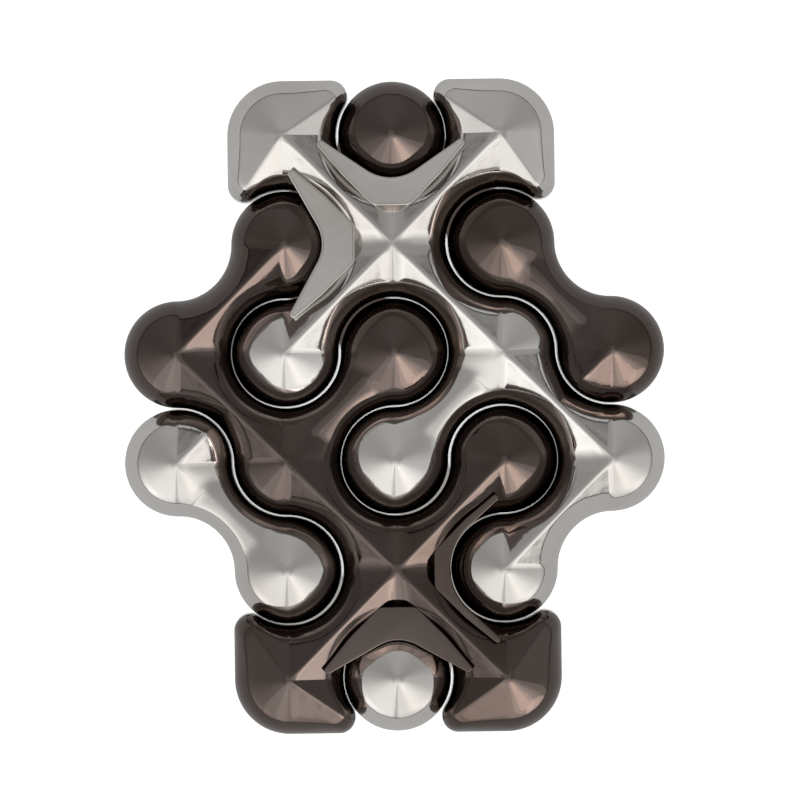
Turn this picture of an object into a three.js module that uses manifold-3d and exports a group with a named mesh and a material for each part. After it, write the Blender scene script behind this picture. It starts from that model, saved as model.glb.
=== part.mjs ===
// Pocket-size take-apart puzzle: two cast metal pieces that lie interlocked in one flat slab.
// Each casting is eleven cone-topped dots on a square lattice, joined corner to corner by ridged
// arms that wind round the dots of the other casting. At six crossings one casting's arm runs in
// the upper half of the slab and the other's in the lower half.
import * as THREE from 'three';
import { mergeVertices } from 'three/addons/utils/BufferGeometryUtils.js';
import Module from 'manifold-3d';

const wasm = await Module();
wasm.setup();

// ---- Driving dimensions, in mm -------------------------------------------------------------
const PITCH = 10;                        // spacing of the dots along X and along Y
const GAP = 0.16;                        // play between the two castings, in the plane
const LAYER_GAP = 0.3;                   // play between two crossing arms, one above the other
const DOT_R = (PITCH - GAP) / 2;         // radius of a dot
const REACH_R = DOT_R + GAP;             // radius of the hollow round a neighbouring dot
const PAD_R = 5.1;                       // reach of a corner pad to its straight outer edges
const PAD_CORNER_R = 1.5;                // small corners of a pad
const PAD_HIP_TWIST = 0.465;             // how far a pad's inner faces turn away from its hips
const CONE_ANGLE = THREE.MathUtils.degToRad(33);  // slope of a dot's cone
const SHOULDER_R = 3.6;                  // radius of the round-over between cone and side wall
const EDGE_HALF = 0.35;                  // half the height of the side wall round a dot
const SOFT_DEPTH = 3.3;                  // a soft arm's back starts this far down the cone
const SOFT_FALL = 0.55;                  // how steeply a soft arm falls away, against a sharp one
const WEB_DROP = 1.15;                   // a web's flat lies this far below the ridges
const WEB_BASE = 2.2;                    // underside of a web before the dot below is cleared
const WEB_FLANK = [                      // half a web's outline, from its hub outwards
  new THREE.Vector2(1.7, 3.4),           // inner corner
  new THREE.Vector2(4.55, 6.25),         // waist, beside the arm's ridge
  new THREE.Vector2(6.95, 9.15),         // outer corner of the blunt tip
  new THREE.Vector2(6.45, 9.55),         // upper corner of the tip
];
const STEPS = 5;                         // straight facets in a quarter circle
const SHOULDER_RINGS = [0, 0.3];         // rings on the round-over, from the side wall inwards

// ---- Worked out from them ------------------------------------------------------------------
const SLOPE = Math.tan(CONE_ANGLE);
const SHOULDER_D = SHOULDER_R * (1 - Math.sin(CONE_ANGLE));
const SHOULDER_DROP = SHOULDER_R * Math.cos(CONE_ANGLE) - SLOPE * SHOULDER_D;
const PEAK = EDGE_HALF + SLOPE * DOT_R + SHOULDER_DROP;   // half the thickness of the puzzle
const HALF_LAYER = LAYER_GAP / 2;
const RINGS = [...SHOULDER_RINGS, SHOULDER_D];
const WEB_TOP = PEAK - WEB_DROP;
const QUARTER = Math.PI / 2;

// ---- Layout of one casting, in lattice pitches ---------------------------------------------
// The other casting has the same layout, turned half a turn about Z.
const DOTS = [
  [-1, 2.5], [1, 2.5], [0, 1.5], [-1, 0.5], [1, 0.5], [-2, -0.5], [0, -0.5], [2, -0.5],
  [-1, -1.5], [1, -1.5], [0, -2.5],
];
const PADS = [[-1, 2.5], [1, 2.5]];
const HUB = [0, 1.5];
const ARMS = [
  { from: [0, 1.5], to: [-1, 2.5], layer: 'over' },
  { from: [0, 1.5], to: [1, 2.5], layer: 'over' },
  { from: [0, 1.5], to: [-1, 0.5], layer: 'over' },
  { from: [0, 1.5], to: [1, 0.5], layer: 'full' },
  { from: [1, 0.5], to: [2, -0.5], layer: 'full' },
  { from: [2, -0.5], to: [1, -1.5], layer: 'full' },
  { from: [1, 0.5], to: [0, -0.5], layer: 'full', soft: true },
  { from: [-2, -0.5], to: [-1, -1.5], layer: 'full', soft: true },
  { from: [0, -0.5], to: [1, -1.5], layer: 'under' },
  { from: [1, -1.5], to: [0, -2.5], layer: 'under' },
  { from: [0, -2.5], to: [-1, -1.5], layer: 'under' },
];
// A short ridge that runs from a dot's tip towards its free edge.
const STUBS = [{ dot: [-2, -0.5], toward: [1, 1] }];

// ---- Surface -------------------------------------------------------------------------------
// Drop of the round-over below the straight slope, at distance b from the side wall.
function shoulderDrop(b) {
  if (b >= SHOULDER_D) return 0;
  const arc = Math.sqrt(SHOULDER_R ** 2 - (SHOULDER_R - b) ** 2);
  return SHOULDER_DROP + SLOPE * b - arc;
}

// Height above the middle plane at fall distance d and distance b from the side wall.
function height(d, b) {
  return PEAK - SLOPE * d - shoulderDrop(b);
}

// Fall distance on an arm, at x and y from a dot along the two sides of the lattice cell.
function armFall(x, y, soft) {
  const across = Math.abs(x - y);
  if (!soft) return across;
  const fromDots = Math.min(Math.hypot(x, y), Math.hypot(PITCH - x, PITCH - y));
  return Math.min(fromDots, DOT_R, SOFT_DEPTH + SOFT_FALL * across);
}

// ---- Mesh patches --------------------------------------------------------------------------
class Skin {
  constructor() {
    this.triangles = [];
  }

  // A grid of points, rows by columns, as triangles. Triangles without area are left out.
  grid(rows, flip) {
    for (let i = 0; i + 1 < rows.length; i += 1) {
      for (let j = 0; j + 1 < rows[i].length; j += 1) {
        const corners = [rows[i][j], rows[i + 1][j], rows[i + 1][j + 1], rows[i][j + 1]];
        this.triangle([corners[0], corners[1], corners[2]], flip);
        this.triangle([corners[0], corners[2], corners[3]], flip);
      }
    }
  }

  triangle(points, flip) {
    const [a, b, c] = points;
    if (a.distanceTo(b) < 1e-4 || b.distanceTo(c) < 1e-4 || c.distanceTo(a) < 1e-4) return;
    this.triangles.push(...(flip ? [a, c, b] : [a, b, c]));
  }

  solid() {
    const geometry = new THREE.BufferGeometry().setFromPoints(this.triangles);
    return toManifold(geometry);
  }
}

function toManifold(geometry) {
  geometry.deleteAttribute('normal');
  geometry.deleteAttribute('uv');
  const merged = mergeVertices(geometry, 1e-4);
  const mesh = new wasm.Mesh({
    numProp: 3,
    vertProperties: new Float32Array(merged.attributes.position.array),
    triVerts: new Uint32Array(merged.index.array),
  });
  return new wasm.Manifold(mesh);
}

// Places a point given by x and y in one lattice cell, seen from a dot, with z on one side.
function cellPoint(dot, turn, x, y, z) {
  return new THREE.Vector3(dot[0] * PITCH + turn[0] * x, dot[1] * PITCH + turn[1] * y, z);
}

// Edge of a pad's hipped quarter, as a radius in direction t from the dot, and its three arcs.
const PAD_CORNER = new THREE.Vector2(
  PITCH - Math.sqrt((REACH_R + PAD_CORNER_R) ** 2 - (PAD_R - PAD_CORNER_R) ** 2),
  PAD_R - PAD_CORNER_R,
);
const PAD_FIRST = (() => {
  const back = new THREE.Vector2(PITCH, 0).sub(PAD_CORNER).setLength(PAD_CORNER_R);
  return PAD_CORNER.clone().add(back).angle();
})();
const PAD_HIP = Math.atan2(1, DOT_R / PAD_R + PAD_HIP_TWIST);
const PAD_LAST = Math.atan2(PAD_R, PAD_CORNER.x);

function padEdge(t) {
  if (t <= PAD_FIRST) return PITCH * Math.cos(t) - Math.sqrt(REACH_R ** 2 - (PITCH * Math.sin(t)) ** 2);
  if (t >= PAD_LAST) return PAD_R / Math.sin(t);
  const along = PAD_CORNER.x * Math.cos(t) + PAD_CORNER.y * Math.sin(t);
  return along + Math.sqrt(along ** 2 - PAD_CORNER.lengthSq() + PAD_CORNER_R ** 2);
}

const range = (from, to, steps) => Array.from({ length: steps }, (_, i) => from + ((to - from) * i) / steps);
const ROUND_ANGLES = [...range(0, QUARTER, STEPS), QUARTER];
const HIPPED_ANGLES = [
  ...range(0, PAD_FIRST, 2), ...range(PAD_FIRST, PAD_HIP, 1), ...range(PAD_HIP, PAD_LAST, 2),
  ...range(PAD_LAST, QUARTER, 1), QUARTER,
];

// The kinds of quarter that a dot can have where it isn't joined to an arm.
const ROUND = { angles: ROUND_ANGLES, edge: () => DOT_R, fall: (x, y) => Math.hypot(x, y) };
const STUB = { angles: ROUND_ANGLES, edge: () => DOT_R, fall: (x, y) => Math.abs(x - y) };
const PAD_OUTER = {
  angles: ROUND_ANGLES,
  edge: () => PAD_R,
  fall: (x, y) => (Math.hypot(x, y) * DOT_R) / PAD_R,
};
const HIPPED = {
  angles: HIPPED_ANGLES,
  edge: padEdge,
  fall: (x, y) => Math.max((y * DOT_R) / PAD_R, x - PAD_HIP_TWIST * y),
};
// The same quarter with its straight edge on the other side.
const HIPPED_SWAPPED = {
  angles: HIPPED_ANGLES.map((t) => QUARTER - t).reverse(),
  edge: (t) => padEdge(QUARTER - t),
  fall: (x, y) => HIPPED.fall(y, x),
};

const same = (a, b) => a[0] === b[0] && a[1] === b[1];

function quarterKind(dot, turn) {
  if (STUBS.some((stub) => same(stub.dot, dot) && same(stub.toward, turn))) return STUB;
  const outward = turn[0] === Math.sign(dot[0]);
  const towardHub = !outward && turn[1] < 0;
  if (towardHub || !PADS.some((pad) => same(pad, dot))) return ROUND;
  if (outward && turn[1] > 0) return PAD_OUTER;
  return outward ? HIPPED_SWAPPED : HIPPED;
}

// Cap of one free quarter on one side of the middle plane.
function quarterCap(skin, dot, turn, side) {
  const kind = quarterKind(dot, turn);
  const rows = kind.angles.map((t) => {
    const edge = kind.edge(t);
    const row = RINGS.map((b) => {
      const x = (edge - b) * Math.cos(t);
      const y = (edge - b) * Math.sin(t);
      return cellPoint(dot, turn, x, y, side * height(kind.fall(x, y), b));
    });
    row.push(cellPoint(dot, turn, 0, 0, side * PEAK));
    return row;
  });
  skin.grid(rows, turn[0] * turn[1] * side < 0);
}

// Side wall of one free quarter between two of the four levels: -2 and 2 are its rims,
// -1 and 1 are the levels at which crossing arms part.
function levelHeight(level, rim) {
  return Math.abs(level) === 2 ? Math.sign(level) * rim : level * HALF_LAYER;
}

function quarterWall(skin, dot, turn, levels) {
  const kind = quarterKind(dot, turn);
  const rows = kind.angles.map((t) => {
    const x = kind.edge(t) * Math.cos(t);
    const y = kind.edge(t) * Math.sin(t);
    const rim = height(kind.fall(x, y), 0);
    return levels.map((level) => cellPoint(dot, turn, x, y, levelHeight(level, rim)));
  });
  skin.grid(rows, turn[0] * turn[1] < 0);
}

// One flank of an arm is seen in polar form from the neighbouring dot that it winds round.
// swap false: the neighbour along X; swap true: the neighbour along Y.
function flankRows(dot, turn, swap, pointAt) {
  return ROUND_ANGLES.map((t) => {
    const ridge = PITCH / (Math.cos(t) + Math.sin(t));
    return pointAt((r) => {
      const x = PITCH - r * Math.cos(t);
      const y = r * Math.sin(t);
      return swap ? [y, x] : [x, y];
    }, ridge);
  });
}

function armCap(skin, arm, side) {
  for (const swap of [false, true]) {
    const rows = flankRows(arm.from, arm.turn, swap, (at, ridge) => {
      const radii = [...RINGS.map((b) => REACH_R + b), ridge];
      return radii.map((r) => {
        const [x, y] = at(r);
        const z = height(armFall(x, y, arm.soft), r - REACH_R);
        return cellPoint(arm.from, arm.turn, x, y, side * z);
      });
    });
    skin.grid(rows, (swap ? -1 : 1) * arm.turn[0] * arm.turn[1] * side < 0);
  }
}

function armWall(skin, arm, levels) {
  for (const swap of [false, true]) {
    const rows = flankRows(arm.from, arm.turn, swap, (at) => {
      const [x, y] = at(REACH_R);
      const rim = height(armFall(x, y, arm.soft), 0);
      return levels.map((level) => cellPoint(arm.from, arm.turn, x, y, levelHeight(level, rim)));
    });
    skin.grid(rows, (swap ? -1 : 1) * arm.turn[0] * arm.turn[1] < 0);
  }
}

// Flat face on the middle side of a half-thickness arm, bounded by four quarter circles.
function armFlat(skin, arm, side) {
  const arc = (cx, cy, r, a) => new THREE.Vector2(cx + r * Math.cos(a), cy + r * Math.sin(a));
  const nearX = (t) => arc(PITCH, 0, REACH_R, Math.PI - t);
  const nearY = (t) => arc(0, PITCH, REACH_R, t - QUARTER);
  const start = (t) => arc(0, 0, DOT_R, t);
  const end = (t) => arc(PITCH, PITCH, DOT_R, -QUARTER - t);
  const rows = ROUND_ANGLES.map((tu) => ROUND_ANGLES.map((tv) => {
    const u = tu / QUARTER;
    const v = tv / QUARTER;
    const mix = nearX(tu).multiplyScalar(1 - v).addScaledVector(nearY(tu), v)
      .addScaledVector(start(tv), 1 - u).addScaledVector(end(tv), u)
      .addScaledVector(start(0), -(1 - u) * (1 - v)).addScaledVector(start(QUARTER), -(1 - u) * v)
      .addScaledVector(end(0), -u * (1 - v)).addScaledVector(end(QUARTER), -u * v);
    return cellPoint(arm.from, arm.turn, mix.x, mix.y, side * HALF_LAYER);
  }));
  skin.grid(rows, arm.turn[0] * arm.turn[1] * side > 0);
}

// ---- One casting ---------------------------------------------------------------------------
const TURNS = [[1, 1], [-1, 1], [-1, -1], [1, -1]];
const UPPER = [1, 2];
const LOWER = [-2, -1];

function armAt(dot, turn) {
  const far = [dot[0] + turn[0], dot[1] + turn[1]];
  return ARMS.find((arm) => (same(arm.from, dot) && same(arm.to, far))
    || (same(arm.to, dot) && same(arm.from, far)));
}

function castingSkin() {
  const skin = new Skin();
  for (const dot of DOTS) {
    for (const turn of TURNS) {
      const arm = armAt(dot, turn);
      const layer = arm ? arm.layer : 'none';
      if (layer === 'none' || layer === 'under') quarterCap(skin, dot, turn, 1);
      if (layer === 'none' || layer === 'over') quarterCap(skin, dot, turn, -1);
      if (layer === 'none') quarterWall(skin, dot, turn, [-2, -1, 1, 2]);
      if (layer === 'over') quarterWall(skin, dot, turn, [-2, -1, 1]);
      if (layer === 'under') quarterWall(skin, dot, turn, [-1, 1, 2]);
    }
  }
  for (const plan of ARMS) {
    const turn = [plan.to[0] - plan.from[0], plan.to[1] - plan.from[1]];
    const arm = { ...plan, turn };
    if (arm.layer !== 'under') armCap(skin, arm, 1);
    if (arm.layer !== 'over') armCap(skin, arm, -1);
    if (arm.layer === 'full') armWall(skin, arm, [...LOWER, ...UPPER]);
    if (arm.layer === 'over') armWall(skin, arm, UPPER);
    if (arm.layer === 'under') armWall(skin, arm, LOWER);
    if (arm.layer === 'over') armFlat(skin, arm, 1);
    if (arm.layer === 'under') armFlat(skin, arm, -1);
  }
  return skin;
}

// Web: a flat plate in the V between two upper arms of the hub. Its outer edge is an arc of
// radius lip about the other casting's dot, drawn out to a tip on each side.
function webPlate(lip) {
  const [tip] = WEB_FLANK.slice(-1);
  const tipAngle = Math.atan2(PITCH - tip.y, tip.x);
  const touch = tipAngle + Math.acos(lip / Math.hypot(tip.x, PITCH - tip.y));
  const shape = new THREE.Shape(WEB_FLANK);
  shape.absarc(0, PITCH, lip, -touch, touch - Math.PI, true);
  for (const corner of WEB_FLANK.toReversed()) {
    shape.lineTo(-corner.x, corner.y);
  }
  shape.closePath();
  const options = { depth: WEB_TOP - WEB_BASE, bevelEnabled: false, curveSegments: STEPS };
  return new THREE.ExtrudeGeometry(shape, options).translate(0, 0, WEB_BASE);
}

// The space that the dot under a web needs: the dot with its play all round.
function dotWithPlay() {
  const play = GAP / Math.cos(CONE_ANGLE);
  const capPoint = (r) => new THREE.Vector2(r, height(r, DOT_R - r) + play);
  const profile = [
    new THREE.Vector2(0, 0),
    new THREE.Vector2(REACH_R, 0),
    new THREE.Vector2(REACH_R, height(DOT_R, 0) + play),
    ...RINGS.slice(1).map((b) => capPoint(DOT_R - b)),
    capPoint(0),
  ];
  return new THREE.LatheGeometry(profile, 4 * STEPS).rotateX(QUARTER).translate(0, PITCH, 0);
}

function web(lip, angle) {
  const plate = toManifold(webPlate(lip)).subtract(toManifold(dotWithPlay()));
  const place = new THREE.Matrix4().makeRotationZ(angle);
  place.setPosition(HUB[0] * PITCH, HUB[1] * PITCH, 0);
  return plate.transform(place.elements);
}

function toGeometry(solid) {
  const mesh = solid.getMesh();
  const geometry = new THREE.BufferGeometry();
  geometry.setAttribute('position', new THREE.BufferAttribute(mesh.vertProperties, 3));
  geometry.setIndex(new THREE.BufferAttribute(mesh.triVerts, 1));
  geometry.computeVertexNormals();
  return geometry;
}

function casting(name, lips, colour) {
  const webs = web(lips.end, 0).add(web(lips.side, QUARTER));
  const solid = castingSkin().solid().add(webs);
  const material = new THREE.MeshStandardMaterial({ color: colour, metalness: 1, roughness: 0.12 });
  const mesh = new THREE.Mesh(toGeometry(solid), material);
  mesh.name = name;
  mesh.position.z = PEAK;
  return mesh;
}

// ---- Assembly: lying flat, middle plane at half its thickness, standing on Z = 0 ------------
const light = casting('light_casting', { end: 3.98, side: 3.52 }, 0xb9b6b1);
const dark = casting('dark_casting', { end: 3.52, side: REACH_R }, 0x4a4342);
dark.rotation.z = Math.PI;

const puzzle = new THREE.Group();
puzzle.add(light, dark);

export default puzzle;
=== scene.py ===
"""Flat take-apart puzzle: two plated castings that lie interlocked, one bright and one dark.

Each casting is skinned here close to the surface of its CAD node, with fine meshes, blunt tips
and ridges, rounded web edges and a steep rim, and stands for that node. Lengths are in mm until
a mesh is made.
"""
import math

import bpy
import numpy as np
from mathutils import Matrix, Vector


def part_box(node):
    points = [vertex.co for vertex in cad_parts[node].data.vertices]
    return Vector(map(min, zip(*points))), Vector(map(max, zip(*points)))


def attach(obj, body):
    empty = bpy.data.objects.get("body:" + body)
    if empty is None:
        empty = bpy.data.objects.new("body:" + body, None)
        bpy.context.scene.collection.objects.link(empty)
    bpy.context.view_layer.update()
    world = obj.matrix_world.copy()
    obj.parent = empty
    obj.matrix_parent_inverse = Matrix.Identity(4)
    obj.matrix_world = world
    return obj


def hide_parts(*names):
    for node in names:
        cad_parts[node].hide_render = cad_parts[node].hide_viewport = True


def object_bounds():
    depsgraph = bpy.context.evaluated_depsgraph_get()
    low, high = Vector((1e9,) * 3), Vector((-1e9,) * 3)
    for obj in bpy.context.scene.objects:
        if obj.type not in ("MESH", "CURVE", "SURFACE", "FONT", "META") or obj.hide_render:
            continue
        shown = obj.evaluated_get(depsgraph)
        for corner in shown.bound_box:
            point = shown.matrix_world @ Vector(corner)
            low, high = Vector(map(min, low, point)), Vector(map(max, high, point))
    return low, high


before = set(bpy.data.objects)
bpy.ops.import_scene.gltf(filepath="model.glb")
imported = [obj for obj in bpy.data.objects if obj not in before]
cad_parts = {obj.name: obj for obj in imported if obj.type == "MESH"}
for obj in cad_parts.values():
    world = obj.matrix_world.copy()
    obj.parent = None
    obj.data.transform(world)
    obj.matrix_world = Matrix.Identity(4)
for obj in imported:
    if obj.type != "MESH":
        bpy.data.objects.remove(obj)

cad_low, cad_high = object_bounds()

MM = 0.001

# ---- The part's driving dimensions, in mm ---------------------------------------------------
PITCH = 10.0                    # spacing of the dots
GAP = 0.16                      # play between the castings
HALF_LAYER = 0.15               # half the play between two crossing arms
DOT_R = (PITCH - GAP) / 2
REACH_R = DOT_R + GAP           # hollow round a neighbouring dot
PAD_R = 5.1                     # reach of a corner pad
PAD_CORNER_R = 1.5
PAD_HIP_TWIST = 0.465
CONE_ANGLE = math.radians(33)
SHOULDER_WIDTH = 1.85           # this close to the side wall the cone starts to steepen
SHOULDER_BEND = 0.45            # how much its slope grows per mm from there
RIM_WIDTH = 1.15                # width of the steep rim between shoulder and side wall
RIM_TILT = (math.radians(54), math.radians(79))         # the rim's tilt at its top and at the wall
RIM_CREASE = 0.06               # softness of the crease along its top
SOFT_DEPTH = 3.3                # a soft arm's back starts this far down the cone
SOFT_FALL = 0.55
WEB_DROP = 1.15                 # a web's flat lies this far below the ridges
WEB_BASE = 2.2                  # underside of a web, where no dot lies below it
LIGHT_LIPS = (3.98, 3.52)       # radii of the lips of the light casting's end and side web
DARK_LIPS = (3.52, REACH_R + 0.02)      # the dark one's side web ends just past the hollow's wall

SLOPE = math.tan(CONE_ANGLE)
RIM_R = RIM_WIDTH / (math.sin(RIM_TILT[1]) - math.sin(RIM_TILT[0]))   # the rim's own rounding
PEAK = (cad_high[2] - cad_low[2]) / MM / 2      # half the thickness
WEB_TOP = PEAK - WEB_DROP
QUARTER = math.pi / 2

# ---- Roundings that only show close up ------------------------------------------------------
TIP_BLUNT = 0.7                 # how blunt a dot's tip is
RIDGE_BLUNT = 0.28              # and the ridge of an arm
TIP_REACH = 0.9                 # the tip's extra bluntness fades out over this radius
VALLEY_HALF = 0.9               # half width of the fillet in the V between two arms
HIP_HALF = 0.35                 # half width of the rounding of a pad's hips
BACK_HALF = 0.5                 # half width of the fillet where a soft arm meets its dots
BACK_ROUND = 1.0                # roundness of a soft arm's back
SHIFT = 0.035                   # the castings lie this far to either side in their play

# ---- Mesh density ---------------------------------------------------------------------------
ARC_STEPS = 28                  # round a quarter circle
RIM_STEPS = 8                   # over the rim, and again over the shoulder
CREASE_STEPS = 6                # over the crease along its top
SLOPE_STEPS = 13                # from the shoulder to the tip or ridge
SLOPE_BIAS = 1.7                # above 1, they crowd towards the tip or ridge
CORNER_STEPS = 6                # round a corner of a web
LIP_STEPS = 24                  # along a web's lip
EDGE_STEPS = 4                  # over the rounding of a web's upper edge
DOT_SPACE_STEPS = 96            # round the room cut out for the dot under a web
WELD = 1000                     # points that agree to 1 / this of a mm become one
SHARP_ANGLE = math.radians(38)  # edges bent by more than this stay sharp

# ---- Layout of one casting, in pitches; the other is turned half a turn ---------------------
DOTS = [(-1, 2.5), (1, 2.5), (0, 1.5), (-1, .5), (1, .5), (-2, -.5), (0, -.5), (2, -.5),
        (-1, -1.5), (1, -1.5), (0, -2.5)]
PADS = [(-1, 2.5), (1, 2.5)]
HUB = (0, 1.5)
STUB = ((-2, -.5), (1, 1))      # a short ridge from a dot towards its free edge
ARMS = [                        # from, to, layer, soft
    ((0, 1.5), (-1, 2.5), "over", False),
    ((0, 1.5), (1, 2.5), "over", False),
    ((0, 1.5), (-1, .5), "over", False),
    ((0, 1.5), (1, .5), "full", False),
    ((1, .5), (2, -.5), "full", False),
    ((2, -.5), (1, -1.5), "full", False),
    ((1, .5), (0, -.5), "full", True),
    ((-2, -.5), (-1, -1.5), "full", True),
    ((0, -.5), (1, -1.5), "under", False),
    ((1, -1.5), (0, -2.5), "under", False),
    ((0, -2.5), (-1, -1.5), "under", False),
]
TURNS = [(1, 1), (-1, 1), (-1, -1), (1, -1)]


# ---- Surface --------------------------------------------------------------------------------
def blend_abs(value, half):
    """|value| with its kink at zero rounded off within half to each side."""
    half = np.maximum(half, 1e-9)
    return np.where(np.abs(value) < half, (value ** 2 + half ** 2) / (2 * half), np.abs(value))


def smooth_max(a, b, half):
    return (a + b + blend_abs(a - b, half)) / 2


def smooth_min(a, b, half):
    return (a + b - blend_abs(a - b, half)) / 2


def height(fall, b, tip_distance):
    """Height above the middle plane, at b from the side wall. fall is the level distance from
    the tip of a cone or from the ridge of an arm."""
    fade = np.exp(-((tip_distance / TIP_REACH) ** 2))
    blunt = RIDGE_BLUNT + (TIP_BLUNT - RIDGE_BLUNT) * fade
    past = ((RIM_WIDTH - b) + np.hypot(RIM_WIDTH - b, RIM_CREASE)) / 2
    sine = math.sin(RIM_TILT[0]) + past / RIM_R
    drop = RIM_R * (math.cos(RIM_TILT[0]) - np.sqrt(1 - sine ** 2)) - SLOPE * past
    drop += SHOULDER_BEND / 2 * np.maximum(SHOULDER_WIDTH - b - past, 0) ** 2
    return PEAK - SLOPE * blend_abs(fall, blunt) - drop


def arm_height(x, y, b, soft, shared):
    """Height of an arm in its lattice cell, from one dot at the origin to one at (PITCH, PITCH).
    shared names the cell's four borders, (end, axis), with another arm of the same dot behind."""
    far = x + y > PITCH
    u = np.where(far, PITCH - x, x)
    v = np.where(far, PITCH - y, y)
    tip_distance = np.hypot(u, v)
    long, short = np.maximum(u, v), np.minimum(u, v)
    border = (v > u).astype(int)
    filleted = np.array([[(end, axis) in shared for axis in (0, 1)] for end in (0, 1)])
    half = np.where(filleted[far.astype(int), border], np.minimum(VALLEY_HALF, 0.5 * long), 0)
    fall = np.abs(long - blend_abs(short, half))
    if soft:
        back = SOFT_DEPTH + SOFT_FALL * (np.hypot(fall, BACK_ROUND) - BACK_ROUND)
        fall = np.minimum(smooth_min(tip_distance, back, BACK_HALF), DOT_R)
    return height(fall, b, tip_distance)


# ---- Quarters of a dot ----------------------------------------------------------------------
PAD_CORNER = np.array([
    PITCH - math.sqrt((REACH_R + PAD_CORNER_R) ** 2 - (PAD_R - PAD_CORNER_R) ** 2),
    PAD_R - PAD_CORNER_R])
_back = np.array([PITCH, 0]) - PAD_CORNER
_first = PAD_CORNER + _back * PAD_CORNER_R / np.linalg.norm(_back)
PAD_FIRST = math.atan2(_first[1], _first[0])
PAD_HIP = math.atan2(1, DOT_R / PAD_R + PAD_HIP_TWIST)
PAD_LAST = math.atan2(PAD_R, PAD_CORNER[0])


def pad_edge(t):
    if t <= PAD_FIRST:
        return PITCH * math.cos(t) - math.sqrt(REACH_R ** 2 - (PITCH * math.sin(t)) ** 2)
    if t >= PAD_LAST:
        return PAD_R / math.sin(t)
    along = PAD_CORNER[0] * math.cos(t) + PAD_CORNER[1] * math.sin(t)
    return along + math.sqrt(along ** 2 - PAD_CORNER @ PAD_CORNER + PAD_CORNER_R ** 2)


def hipped_fall(x, y):
    outer, inner = y * DOT_R / PAD_R, x - PAD_HIP_TWIST * y
    half = np.minimum(HIP_HALF, 0.4 * np.maximum(outer, inner))
    return smooth_max(outer, inner, half)


def spaced(*stops):
    """Angles through the given stops: (angle, number of steps to the next one) pairs."""
    out = []
    for (start, steps), (end, _) in zip(stops, stops[1:]):
        out += [start + (end - start) * i / steps for i in range(steps)]
    return np.array(out + [stops[-1][0]])


ROUND_ANGLES = spaced((0, ARC_STEPS), (QUARTER, 0))
HIPPED_ANGLES = spaced((0, 12), (PAD_FIRST, 6), (PAD_HIP, 12), (PAD_LAST, 8), (QUARTER, 0))
KINDS = {
    "round": (ROUND_ANGLES, lambda t: DOT_R, np.hypot),
    "stub": (ROUND_ANGLES, lambda t: DOT_R, lambda x, y: np.abs(x - y)),
    "pad": (ROUND_ANGLES, lambda t: PAD_R, lambda x, y: np.hypot(x, y) * DOT_R / PAD_R),
    "hipped": (HIPPED_ANGLES, pad_edge, hipped_fall),
    "hipped_swapped": (QUARTER - HIPPED_ANGLES[::-1], lambda t: pad_edge(QUARTER - t),
                       lambda x, y: hipped_fall(y, x)),
}


def quarter_kind(dot, turn):
    if (dot, turn) == STUB:
        return KINDS["stub"]
    outward = turn[0] == np.sign(dot[0])
    toward_hub = not outward and turn[1] < 0
    if toward_hub or dot not in PADS:
        return KINDS["round"]
    if outward and turn[1] > 0:
        return KINDS["pad"]
    return KINDS["hipped_swapped"] if outward else KINDS["hipped"]


# ---- Patches --------------------------------------------------------------------------------
RIM_RINGS = np.linspace(0, RIM_WIDTH - 2 * RIM_CREASE, RIM_STEPS + 1)[:-1]
CREASE_RINGS = np.linspace(RIM_WIDTH - 2 * RIM_CREASE, RIM_WIDTH + 2 * RIM_CREASE,
                           CREASE_STEPS + 1)
SHOULDER_RINGS = np.linspace(RIM_WIDTH + 2 * RIM_CREASE, SHOULDER_WIDTH, RIM_STEPS + 1)
SLOPE_SHARES = 1 - (1 - np.arange(SLOPE_STEPS + 1) / SLOPE_STEPS) ** SLOPE_BIAS


def place(dot, turn, x, y, z):
    """Points given by x and y in one lattice cell, seen from a dot, as an array of positions."""
    return np.stack([dot[0] * PITCH + turn[0] * x, dot[1] * PITCH + turn[1] * y, z], -1)


def inward(span):
    """Distances from the side wall to a tip or ridge that lies span away from it."""
    slope_rings = SHOULDER_WIDTH + (span - SHOULDER_WIDTH) * SLOPE_SHARES
    return np.concatenate([RIM_RINGS, CREASE_RINGS[:-1], SHOULDER_RINGS[:-1], slope_rings])


class Skin:
    """Grids of points that together close one casting. They are welded when the mesh is made."""

    def __init__(self):
        self.grids = []

    def add(self, grid, flip):
        self.grids.append(grid[::-1] if flip else grid)

    def mesh(self, name):
        points, faces = [], []
        start = 0
        for grid in self.grids:
            rows, cols = grid.shape[:2]
            index = start + np.arange(rows * cols).reshape(rows, cols)
            faces.append(np.stack([index[:-1, :-1], index[1:, :-1], index[1:, 1:],
                                   index[:-1, 1:]], -1).reshape(-1, 4))
            points.append(grid.reshape(-1, 3))
            start += rows * cols
        points = np.concatenate(points)
        keys, first, weld = np.unique(np.round(points * WELD).astype(np.int64), axis=0,
                                      return_index=True, return_inverse=True)
        weld = weld.reshape(-1)
        loops = []
        for face in weld[np.concatenate(faces)]:
            corners = [c for i, c in enumerate(face) if c != face[i - 1]]
            if len(set(corners)) == len(corners) >= 3:
                loops.append(corners)
        mesh = bpy.data.meshes.new(name)
        mesh.from_pydata((points[first] * MM).tolist(), [], [list(map(int, c)) for c in loops])
        mesh.update()
        return mesh


def quarter_cap(skin, dot, turn, side):
    angles, edge, fall = quarter_kind(dot, turn)
    reach = np.array([edge(t) for t in angles])
    b = np.array([inward(span) for span in reach])
    r = reach[:, None] - b
    x, y = r * np.cos(angles)[:, None], r * np.sin(angles)[:, None]
    z = side * height(fall(x, y), b, r)
    skin.add(place(dot, turn, x, y, z), turn[0] * turn[1] * side < 0)


def level_heights(top, bottom, levels):
    """Levels -2 and 2 are the rims of a side wall, -1 and 1 are where crossing arms part."""
    parting = np.full_like(top, HALF_LAYER)
    heights = {-2: -bottom, -1: -parting, 1: parting, 2: top}
    return np.stack([heights[n] for n in levels], -1)


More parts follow.
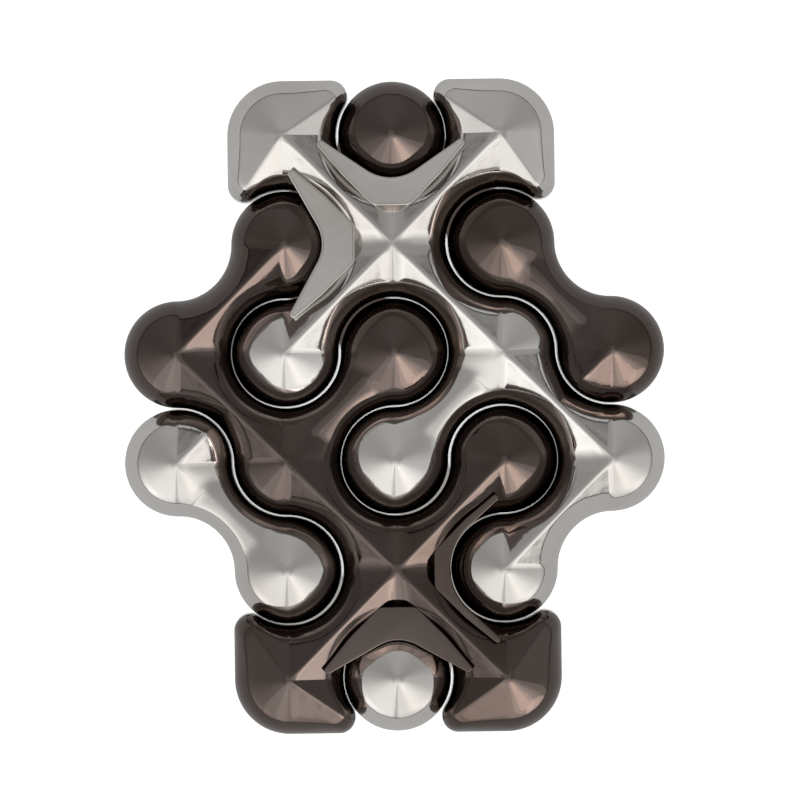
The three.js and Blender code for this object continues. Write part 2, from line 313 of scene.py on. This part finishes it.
def quarter_wall(skin, dot, turn, levels):
    angles, edge, fall = quarter_kind(dot, turn)
    reach = np.array([edge(t) for t in angles])
    x, y = reach * np.cos(angles), reach * np.sin(angles)
    rim = height(fall(x, y), 0, reach)
    z = level_heights(rim, rim, levels)
    wide = np.ones(len(levels))
    skin.add(place(dot, turn, x[:, None] * wide, y[:, None] * wide, z), turn[0] * turn[1] < 0)


def flank_points(r, t, swap):
    """A point of an arm's flank, in polar form about the neighbouring dot it winds round."""
    x, y = PITCH - r * np.cos(t), r * np.sin(t)
    return (y, x) if swap else (x, y)


def arm_cap(skin, arm, side, shared):
    start, turn, soft = arm
    t = ROUND_ANGLES[:, None]
    ridge = PITCH / (np.cos(ROUND_ANGLES) + np.sin(ROUND_ANGLES))
    b = np.array([inward(span) for span in ridge - REACH_R])
    for swap in (False, True):
        x, y = flank_points(REACH_R + b, t, swap)
        z = side * arm_height(x, y, b, soft, shared)
        skin.add(place(start, turn, x, y, z), (-1 if swap else 1) * turn[0] * turn[1] * side < 0)


def arm_wall(skin, arm, levels, shared_above, shared_below):
    start, turn, soft = arm
    wide = np.ones(len(levels))
    for swap in (False, True):
        x, y = flank_points(REACH_R, ROUND_ANGLES, swap)
        b = np.zeros_like(x)
        z = level_heights(arm_height(x, y, b, soft, shared_above),
                          arm_height(x, y, b, soft, shared_below), levels)
        skin.add(place(start, turn, x[:, None] * wide, y[:, None] * wide, z),
                 (-1 if swap else 1) * turn[0] * turn[1] < 0)


def arm_flat(skin, arm, side):
    """Flat face on the middle side of a half-thickness arm, between four quarter circles."""
    start, turn, _ = arm

    def arc(cx, cy, r, a):
        return np.stack([cx + r * np.cos(a), cy + r * np.sin(a)], -1)

    t = ROUND_ANGLES
    near_x, near_y = arc(PITCH, 0, REACH_R, math.pi - t), arc(0, PITCH, REACH_R, t - QUARTER)
    begin, end = arc(0, 0, DOT_R, t), arc(PITCH, PITCH, DOT_R, -QUARTER - t)
    u, v = t[:, None, None] / QUARTER, t[None, :, None] / QUARTER
    flat = (near_x[:, None] * (1 - v) + near_y[:, None] * v + begin[None] * (1 - u) + end[None] * u
            - (1 - u) * ((1 - v) * begin[0] + v * begin[-1]) - u * ((1 - v) * end[0] + v * end[-1]))
    z = np.full(flat.shape[:2], side * HALF_LAYER)
    skin.add(place(start, turn, flat[..., 0], flat[..., 1], z), turn[0] * turn[1] * side > 0)


def arm_at(dot, turn):
    far = (dot[0] + turn[0], dot[1] + turn[1])
    return next((arm for arm in ARMS if {arm[0], arm[1]} == {dot, far}), None)


def shows(layer, side):
    return layer != ("under" if side > 0 else "over")


def shared_borders(arm, side):
    """The borders of an arm's cell behind which its dot has another arm on the same side."""
    start, stop, _, _ = arm
    turn = (stop[0] - start[0], stop[1] - start[1])
    found = set()
    for end, dot, way in ((0, start, turn), (1, stop, (-turn[0], -turn[1]))):
        for axis, mirrored in ((0, (way[0], -way[1])), (1, (-way[0], way[1]))):
            other = arm_at(dot, mirrored)
            if other and shows(other[2], side) and not other[3]:
                found.add((end, axis))
    return found


def casting_skin():
    skin = Skin()
    for dot in DOTS:
        for turn in TURNS:
            arm = arm_at(dot, turn)
            layer = arm[2] if arm else "none"
            if layer in ("none", "under"):
                quarter_cap(skin, dot, turn, 1)
            if layer in ("none", "over"):
                quarter_cap(skin, dot, turn, -1)
            levels = {"none": [-2, -1, 1, 2], "over": [-2, -1, 1], "under": [-1, 1, 2]}.get(layer)
            if levels:
                quarter_wall(skin, dot, turn, levels)
    for arm in ARMS:
        start, stop, layer, soft = arm
        plan = (start, (stop[0] - start[0], stop[1] - start[1]), soft)
        levels = {"full": [-2, -1, 1, 2], "over": [1, 2], "under": [-2, -1]}[layer]
        shared = {side: set() if soft else shared_borders(arm, side) for side in (1, -1)}
        for side in (1, -1):
            if shows(layer, side):
                arm_cap(skin, plan, side, shared[side])
        arm_wall(skin, plan, levels, shared[1], shared[-1])
        if layer != "full":
            arm_flat(skin, plan, 1 if layer == "over" else -1)
    return skin


# ---- Webs -----------------------------------------------------------------------------------
WEB_INNER = ((1.7, 3.4), 1.0)               # inner corner of a web, from the hub, and radius
WEB_WAIST = ((4.55, 6.25), 4.0)             # where its flank bends
WEB_TIP_SIDE = ((6.95, 9.15), 0.3)          # the two corners of a tip
WEB_TIP_TOP = ((6.45, 9.55), 0.3)
WEB_EDGE_R = 0.12               # rounding of the web's upper edge
GROOVE_AT = (0.17, 0.20, 0.24)  # a groove's near side, bottom and far side, from the edge
GROOVE_DEPTH = 0.05
MITRE_LIMIT = 0.5               # an inset corner moves at most 1 / this times as far as an edge


def rounded(corners):
    """Outline through corners (point, radius), each corner with a radius turned into an arc."""
    out = []
    count = len(corners)
    for i, (point, radius) in enumerate(corners):
        here = Vector(point)
        if not radius:
            out.append(here)
            continue
        back = (Vector(corners[i - 1][0]) - here).normalized()
        ahead = (Vector(corners[(i + 1) % count][0]) - here).normalized()
        half = back.angle(ahead) / 2
        centre = here + (back + ahead).normalized() * radius / math.sin(half)
        first = here + back * radius / math.tan(half) - centre
        last = here + ahead * radius / math.tan(half) - centre
        turn = first.angle_signed(last)
        for k in range(CORNER_STEPS + 1):
            angle = -turn * k / CORNER_STEPS
            c, s = math.cos(angle), math.sin(angle)
            out.append(centre + Vector((c * first.x - s * first.y, s * first.x + c * first.y)))
    return out


def web_outline(lip):
    """Counter-clockwise outline of a web, seen from the hub with the other dot at (0, PITCH)."""
    tip = Vector(WEB_TIP_TOP[0]) - Vector((0, PITCH))
    touch = math.atan2(-tip.y, tip.x) + math.acos(lip / tip.length)
    arc = [-touch - (math.pi - 2 * touch) * k / LIP_STEPS for k in range(LIP_STEPS + 1)]
    right = [WEB_INNER, WEB_WAIST, WEB_TIP_SIDE, WEB_TIP_TOP]
    left = [((-x, y), r) for (x, y), r in reversed(right)]
    lip_points = [((lip * math.cos(a), PITCH + lip * math.sin(a)), 0) for a in arc]
    return rounded(right + lip_points + left)


def inset(outline, by):
    """The outline moved inwards, each vertex along the middle of its two edges."""
    out = []
    for i, here in enumerate(outline):
        back = (here - outline[i - 1]).normalized()
        ahead = (outline[(i + 1) % len(outline)] - here).normalized()
        normal = Vector((-back.y - ahead.y, back.x + ahead.x)).normalized()
        stretch = max(normal.dot(Vector((-ahead.y, ahead.x))), MITRE_LIMIT)
        out.append(here + normal * by / stretch)
    return out


def stacked_mesh(name, rings):
    """A closed mesh through equally long rings of points, given from the bottom up."""
    count = len(rings[0])
    verts = [(x * MM, y * MM, z * MM) for ring in rings for x, y, z in ring]
    faces = []
    for low in range(0, len(verts) - count, count):
        high = low + count
        for i in range(count):
            j = (i + 1) % count
            faces.append((low + i, low + j, high + j, high + i))
    faces.append(tuple(range(count - 1, -1, -1)))
    faces.append(tuple(range(len(verts) - count, len(verts))))
    mesh = bpy.data.meshes.new(name)
    mesh.from_pydata(verts, [], faces)
    return mesh


def web_mesh(name, lip, groove):
    outline = web_outline(lip)
    profile = [(0, WEB_BASE)]
    for k in range(EDGE_STEPS + 1):
        angle = QUARTER * k / EDGE_STEPS
        profile.append((WEB_EDGE_R * (1 - math.cos(angle)),
                        WEB_TOP - WEB_EDGE_R * (1 - math.sin(angle))))
    if groove:
        near, bottom, far = GROOVE_AT
        profile += [(near, WEB_TOP), (bottom, WEB_TOP - GROOVE_DEPTH), (far, WEB_TOP)]
    return stacked_mesh(name, [[(p.x, p.y, z) for p in inset(outline, by)] for by, z in profile])


def dot_space_mesh(name):
    """The room that the dot under a web needs, turned about the dot's axis at (0, PITCH)."""
    play = GAP / math.cos(CONE_ANGLE)
    profile = [(REACH_R, -PITCH)]
    for d in inward(DOT_R)[:-1]:
        r = DOT_R - d
        profile.append((r if d else REACH_R, float(height(r, d, r)) + play))
    angles = [2 * math.pi * k / DOT_SPACE_STEPS for k in range(DOT_SPACE_STEPS)]
    return stacked_mesh(name, [[(r * math.cos(a), PITCH + r * math.sin(a), z) for a in angles]
                               for r, z in profile])


def add_object(name, mesh):
    obj = bpy.data.objects.new(name, mesh)
    bpy.context.scene.collection.objects.link(obj)
    return obj


def combine(obj, other, operation):
    """Joins other to obj, or cuts it out, and removes other."""
    modifier = obj.modifiers.new(operation, "BOOLEAN")
    modifier.operation = operation
    modifier.solver = "EXACT"
    modifier.object = other
    bpy.context.view_layer.update()
    result = bpy.data.meshes.new_from_object(obj.evaluated_get(
        bpy.context.evaluated_depsgraph_get()))
    obj.modifiers.clear()
    obj.data = result
    bpy.data.objects.remove(other)


def web(lip, turn, groove):
    obj = add_object("web", web_mesh("web", lip, groove))
    if lip < REACH_R:
        combine(obj, add_object("dot_space", dot_space_mesh("dot_space")), "DIFFERENCE")
    c, s = round(math.cos(turn)), round(math.sin(turn))
    for vertex in obj.data.vertices:
        x, y, z = vertex.co
        vertex.co = (c * x - s * y + HUB[0] * PITCH * MM, s * x + c * y + HUB[1] * PITCH * MM, z)
    return obj


def casting(name, node, lips, groove, half_turn):
    obj = add_object(name, casting_skin().mesh(name))
    for lip, turn in zip(lips, (0, QUARTER)):
        combine(obj, web(lip, turn, groove), "UNION")
    flip = -1 if half_turn else 1
    shift = -flip * SHIFT * MM
    low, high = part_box(node)
    middle = (low + high) / 2
    fit = 1 - SHIFT * MM / cad_high[0]
    for vertex in obj.data.vertices:
        x, y, z = vertex.co
        vertex.co = (flip * x * fit + shift, flip * y, z + middle.z)
    obj.data.name = name
    obj.data.polygons.foreach_set("use_smooth", [True] * len(obj.data.polygons))
    obj.data.set_sharp_from_angle(angle=SHARP_ANGLE)
    return obj


# ---- Materials ------------------------------------------------------------------------------
def nodes_of(name):
    material = bpy.data.materials.new(name)
    material.use_nodes = True
    tree = material.node_tree
    return material, tree, tree.nodes["Principled BSDF"]


def add_node(tree, kind, **values):
    node = tree.nodes.new(kind)
    for key, value in values.items():
        if hasattr(node, key):
            setattr(node, key, value)
        else:
            node.inputs[key.replace("_", " ")].default_value = value
    return node


# Scale per metre, detail and roughness of the noises in the platings.
PATCHES = (90, 3, 0.5)          # patches of thin tarnish
PATCH_EDGES = (0.42, 0.78)      # where the tarnish starts and where it is full
WIPES = (420, 4, 0.6)           # uneven polish
WAVE_DETAIL = 2


def noise(tree, source, scale, detail, roughness):
    node = add_node(tree, "ShaderNodeTexNoise")
    node.inputs["Scale"].default_value = scale
    node.inputs["Detail"].default_value = detail
    node.inputs["Roughness"].default_value = roughness
    tree.links.new(source, node.inputs["Vector"])
    return node.outputs["Fac"]


def ramp(tree, source, low, high):
    """A colour ramp from (position, colour) to (position, colour)."""
    node = tree.nodes.new("ShaderNodeValToRGB")
    for element, (position, colour) in zip(node.color_ramp.elements, (low, high)):
        element.position = position
        element.color = (*colour, 1)
    tree.links.new(source, node.inputs["Fac"])
    return node.outputs["Color"]


def plating(name, clean, tarnished, roughness, waviness):
    """Mirror plating over a casting: a slow waviness, a fine grain and thin tarnish."""
    material, tree, shader = nodes_of(name)
    links = tree.links
    where = add_node(tree, "ShaderNodeTexCoord").outputs["Object"]
    shader.inputs["Metallic"].default_value = 1.0
    start, full = PATCH_EDGES
    tarnish = ramp(tree, noise(tree, where, *PATCHES), (start, clean), (full, tarnished))
    links.new(tarnish, shader.inputs["Base Color"])
    wipe = add_node(tree, "ShaderNodeMapRange")
    links.new(noise(tree, where, *WIPES), wipe.inputs["Value"])
    wipe.inputs["To Min"].default_value = roughness[0]
    wipe.inputs["To Max"].default_value = roughness[1]
    links.new(wipe.outputs["Result"], shader.inputs["Roughness"])
    normal = None
    for scale, depth in waviness:
        bump = add_node(tree, "ShaderNodeBump")
        bump.inputs["Strength"].default_value = 1.0
        bump.inputs["Distance"].default_value = depth * MM
        links.new(noise(tree, where, scale, WAVE_DETAIL, 0.5), bump.inputs["Height"])
        if normal:
            links.new(normal, bump.inputs["Normal"])
        normal = bump.outputs["Normal"]
    links.new(normal, shader.inputs["Normal"])
    return material


WAVES = [(260, 0.035), (900, 0.007)]        # (waves per metre, depth in mm)
POLISH = (0.04, 0.10)           # least and greatest roughness
bright_plating = plating("bright_plating", (0.77, 0.755, 0.73), (0.66, 0.63, 0.6), POLISH, WAVES)
dark_plating = plating("dark_plating", (0.125, 0.101, 0.093), (0.095, 0.07, 0.058), POLISH, WAVES)

# ---- The two castings -----------------------------------------------------------------------
PIECES = [
    ("light_cast_body", "light_casting", LIGHT_LIPS, True, False, bright_plating,
     "bright_plating"),
    ("dark_cast_body", "dark_casting", DARK_LIPS, False, True, dark_plating, "dark_plating"),
]
pieces = {}
for piece_name, node, lips, groove, half_turn, material, slot in PIECES:
    piece = pieces[node] = casting(piece_name, node, lips, groove, half_turn)
    piece.data.materials.clear()
    piece.data.materials.append(material)
    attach(piece, node)
    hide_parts(node)

# ---- Floor, light and camera ----------------------------------------------------------------
FLOOR_HALF = 3.0                # half the floors' width, in metres
WHITE_FLOOR = 0.86              # shade of the floor that the camera sees
MIRRORED_FLOOR = 0.3            # shade of the floor that the metal mirrors
MIRRORED_RISE = 0.05 * MM       # it lies this far above the white one, so as not to be shadowed


def floor(name, shade):
    mesh = bpy.data.meshes.new(name)
    s = FLOOR_HALF
    mesh.from_pydata([(-s, -s, 0), (s, -s, 0), (s, s, 0), (-s, s, 0)], [], [(0, 1, 2, 3)])
    obj = add_object(name, mesh)
    material, _, shader = nodes_of(name + "_paper")
    shader.inputs["Base Color"].default_value = (shade, shade, shade, 1)
    shader.inputs["Roughness"].default_value = 1.0
    shader.inputs["Specular IOR Level"].default_value = 0.0
    mesh.materials.append(material)
    return obj


def floors():
    """A white floor for the camera, and a greyer one that only the metal mirrors."""
    white = floor("floor", WHITE_FLOOR)
    white.visible_glossy = False
    grey = floor("mirrored_floor", MIRRORED_FLOOR)
    grey.location.z = MIRRORED_RISE
    grey.visible_camera = False
    grey.visible_diffuse = False
    grey.visible_shadow = False


# Soft sources round the table: azimuth and elevation in degrees, tightness, colour, strength.
SOURCES = [
    (255, 15, 5, (1.0, 0.98, 0.96), 0.60),
    (205, 14, 12, (1.0, 0.96, 0.94), 0.36),
    (316, 14, 10, (1.0, 1.0, 0.98), 0.68),
    (270, 55, 8, (1.0, 0.99, 0.97), 0.50),
    (225, 2, 20, (1.0, 0.99, 0.98), 0.60),
    (313, 5, 40, (1.0, 0.88, 0.78), 0.20),
    (297, 25, 60, (1.0, 0.86, 0.75), 0.30),
    (0, 18, 30, (0.96, 1.0, 0.96), 0.18),
    (90, 20, 6, (0.98, 0.99, 1.0), 0.10),
]
SKY = (0.34, 0.335, 0.33)       # even light from above the horizon
GROUND = 0.3                    # shade below it
GROUND_BLEND = 0.05             # sine of the elevation over which the two blend
HORIZON_DARK = 0.9              # depth of a dark band along the horizon
HORIZON_NARROW = 16.0           # 1 / the sine of the elevation at which it has mostly faded
STRIPE = (267, 0.05, 0.45)      # a dark gap between two sources: azimuth, half width, depth
CAMERA_WHITE = 1.0              # backdrop that the camera sees
OVERHEAD = (3.6, 3)             # strength and width, in degrees, of the lamp that lights the floor


def studio_world():
    world = bpy.data.worlds.new("studio")
    world.use_nodes = True
    bpy.context.scene.world = world
    tree = world.node_tree
    links = tree.links
    direction = add_node(tree, "ShaderNodeTexCoord").outputs["Generated"]
    split = add_node(tree, "ShaderNodeSeparateXYZ")
    links.new(direction, split.inputs[0])
    up = split.outputs["Z"]

    def maths(operation, a, b=None):
        node = add_node(tree, "ShaderNodeMath", operation=operation)
        for slot, value in zip(node.inputs, (a, b)):
            if value is None:
                continue
            if isinstance(value, (int, float)):
                slot.default_value = value
            else:
                links.new(value, slot)
        return node.outputs[0]

    def vectors(operation, a, b):
        node = add_node(tree, "ShaderNodeVectorMath", operation=operation)
        for slot, value in zip(node.inputs, (a, b)):
            if isinstance(value, (tuple, Vector)):
                slot.default_value = value
            else:
                links.new(value, slot)
        return node.outputs["Value" if operation == "DOT_PRODUCT" else "Vector"]

    total = None
    for azimuth, elevation, tightness, colour, strength in SOURCES:
        a, e = math.radians(azimuth), math.radians(elevation)
        axis = Vector((math.cos(e) * math.cos(a), math.cos(e) * math.sin(a), math.sin(e)))
        near = maths("SUBTRACT", vectors("DOT_PRODUCT", direction, axis), 1.0)
        lobe = maths("EXPONENT", maths("MULTIPLY", near, tightness))
        tint = add_node(tree, "ShaderNodeVectorMath", operation="SCALE")
        tint.inputs[0].default_value = [c * strength for c in colour]
        links.new(lobe, tint.inputs["Scale"])
        total = vectors("ADD", total, tint.outputs[0]) if total else tint.outputs[0]
    sky = vectors("ADD", total, SKY)
    rise = add_node(tree, "ShaderNodeMapRange", interpolation_type="SMOOTHSTEP")
    rise.inputs["From Min"].default_value = -GROUND_BLEND
    rise.inputs["From Max"].default_value = GROUND_BLEND
    links.new(up, rise.inputs["Value"])
    mixed = add_node(tree, "ShaderNodeMix", data_type="RGBA")
    links.new(rise.outputs[0], mixed.inputs["Factor"])
    mixed.inputs["A"].default_value = (GROUND, GROUND, GROUND, 1)
    links.new(sky, mixed.inputs["B"])
    squared = maths("POWER", maths("MULTIPLY", up, HORIZON_NARROW), 2.0)
    band = maths("MULTIPLY", maths("EXPONENT", maths("MULTIPLY", squared, -1.0)), HORIZON_DARK)
    azimuth, half, depth = STRIPE
    a = math.radians(azimuth)
    aside = vectors("DOT_PRODUCT", direction, Vector((-math.sin(a), math.cos(a), 0)))
    ahead = vectors("DOT_PRODUCT", direction, Vector((math.cos(a), math.sin(a), 0)))
    offset = maths("POWER", maths("DIVIDE", aside, half), 2.0)
    stripe = maths("MULTIPLY", maths("EXPONENT", maths("MULTIPLY", offset, -1.0)), depth)
    stripe = maths("MULTIPLY", stripe, maths("MAXIMUM", ahead, 0.0))
    light = maths("MULTIPLY", maths("SUBTRACT", 1.0, band), maths("SUBTRACT", 1.0, stripe))
    background = tree.nodes["Background"]
    links.new(mixed.outputs["Result"], background.inputs["Color"])
    links.new(light, background.inputs["Strength"])
    seen = add_node(tree, "ShaderNodeBackground")
    seen.inputs["Color"].default_value = (CAMERA_WHITE, CAMERA_WHITE, CAMERA_WHITE, 1)
    choose = add_node(tree, "ShaderNodeMixShader")
    links.new(add_node(tree, "ShaderNodeLightPath").outputs["Is Camera Ray"], choose.inputs[0])
    links.new(background.outputs[0], choose.inputs[1])
    links.new(seen.outputs[0], choose.inputs[2])
    links.new(choose.outputs[0], tree.nodes["World Output"].inputs["Surface"])


def overhead_light():
    lamp = bpy.data.lights.new("overhead", "SUN")
    lamp.energy, width = OVERHEAD
    lamp.angle = math.radians(width)
    obj = bpy.data.objects.new("overhead", lamp)
    bpy.context.scene.collection.objects.link(obj)
    obj.visible_glossy = False


# Soft boxes that only the dark casting mirrors: azimuth and elevation in degrees, their width in
# degrees, colour and radiance.
SOFT_BOXES = [
    (285, 20, 110, (1.0, 0.98, 0.98), 0.45),
    (290, 20, 80, (1.0, 0.97, 0.95), 0.35),
    (298, 22, 54, (1.0, 0.93, 0.88), 0.5),
    (300, 24, 34, (1.0, 0.87, 0.76), 0.7),
    (301, 26, 18, (1.0, 0.85, 0.74), 1.0),
    (314, 6, 34, (1.0, 0.88, 0.8), 1.3),
    (0, 90, 60, (0.93, 0.96, 1.0), 0.28),
]


def soft_boxes(receiver):
    lit = bpy.data.collections.new("dark_plating_lights")
    lit.objects.link(receiver)
    for azimuth, elevation, width, colour, radiance in SOFT_BOXES:
        lamp = bpy.data.lights.new("soft_box", "SUN")
        lamp.angle = math.radians(width)
        lamp.color = colour
        lamp.energy = radiance * math.pi * math.sin(lamp.angle / 2) ** 2
        a, e = math.radians(azimuth), math.radians(elevation)
        obj = bpy.data.objects.new("soft_box", lamp)
        toward = Vector((math.cos(e) * math.cos(a), math.cos(e) * math.sin(a), math.sin(e)))
        obj.rotation_euler = toward.to_track_quat("Z", "Y").to_euler()
        obj.light_linking.receiver_collection = lit
        bpy.context.scene.collection.objects.link(obj)


# The camera looks straight down from far off, a little to one side of the middle.
VIEW_WIDTH = 73.77 * MM
CAMERA_RISE = 0.8               # in metres
SENSOR = 36
AIM = (0.51 * MM, 0.56 * MM)
ROLL = math.radians(-0.74)


def camera():
    data = bpy.data.cameras.new("camera")
    data.sensor_width = SENSOR
    data.lens = data.sensor_width * CAMERA_RISE / VIEW_WIDTH
    data.clip_start = 0.01
    obj = bpy.data.objects.new("camera", data)
    bpy.context.scene.collection.objects.link(obj)
    middle = (Vector(cad_low) + Vector(cad_high)) / 2
    obj.location = middle + Vector((*AIM, CAMERA_RISE))
    obj.rotation_euler = (0, 0, ROLL)
    bpy.context.scene.camera = obj


floors()
studio_world()
overhead_light()
soft_boxes(pieces["dark_casting"])
camera()
bpy.context.scene.view_settings.view_transform = "Standard"
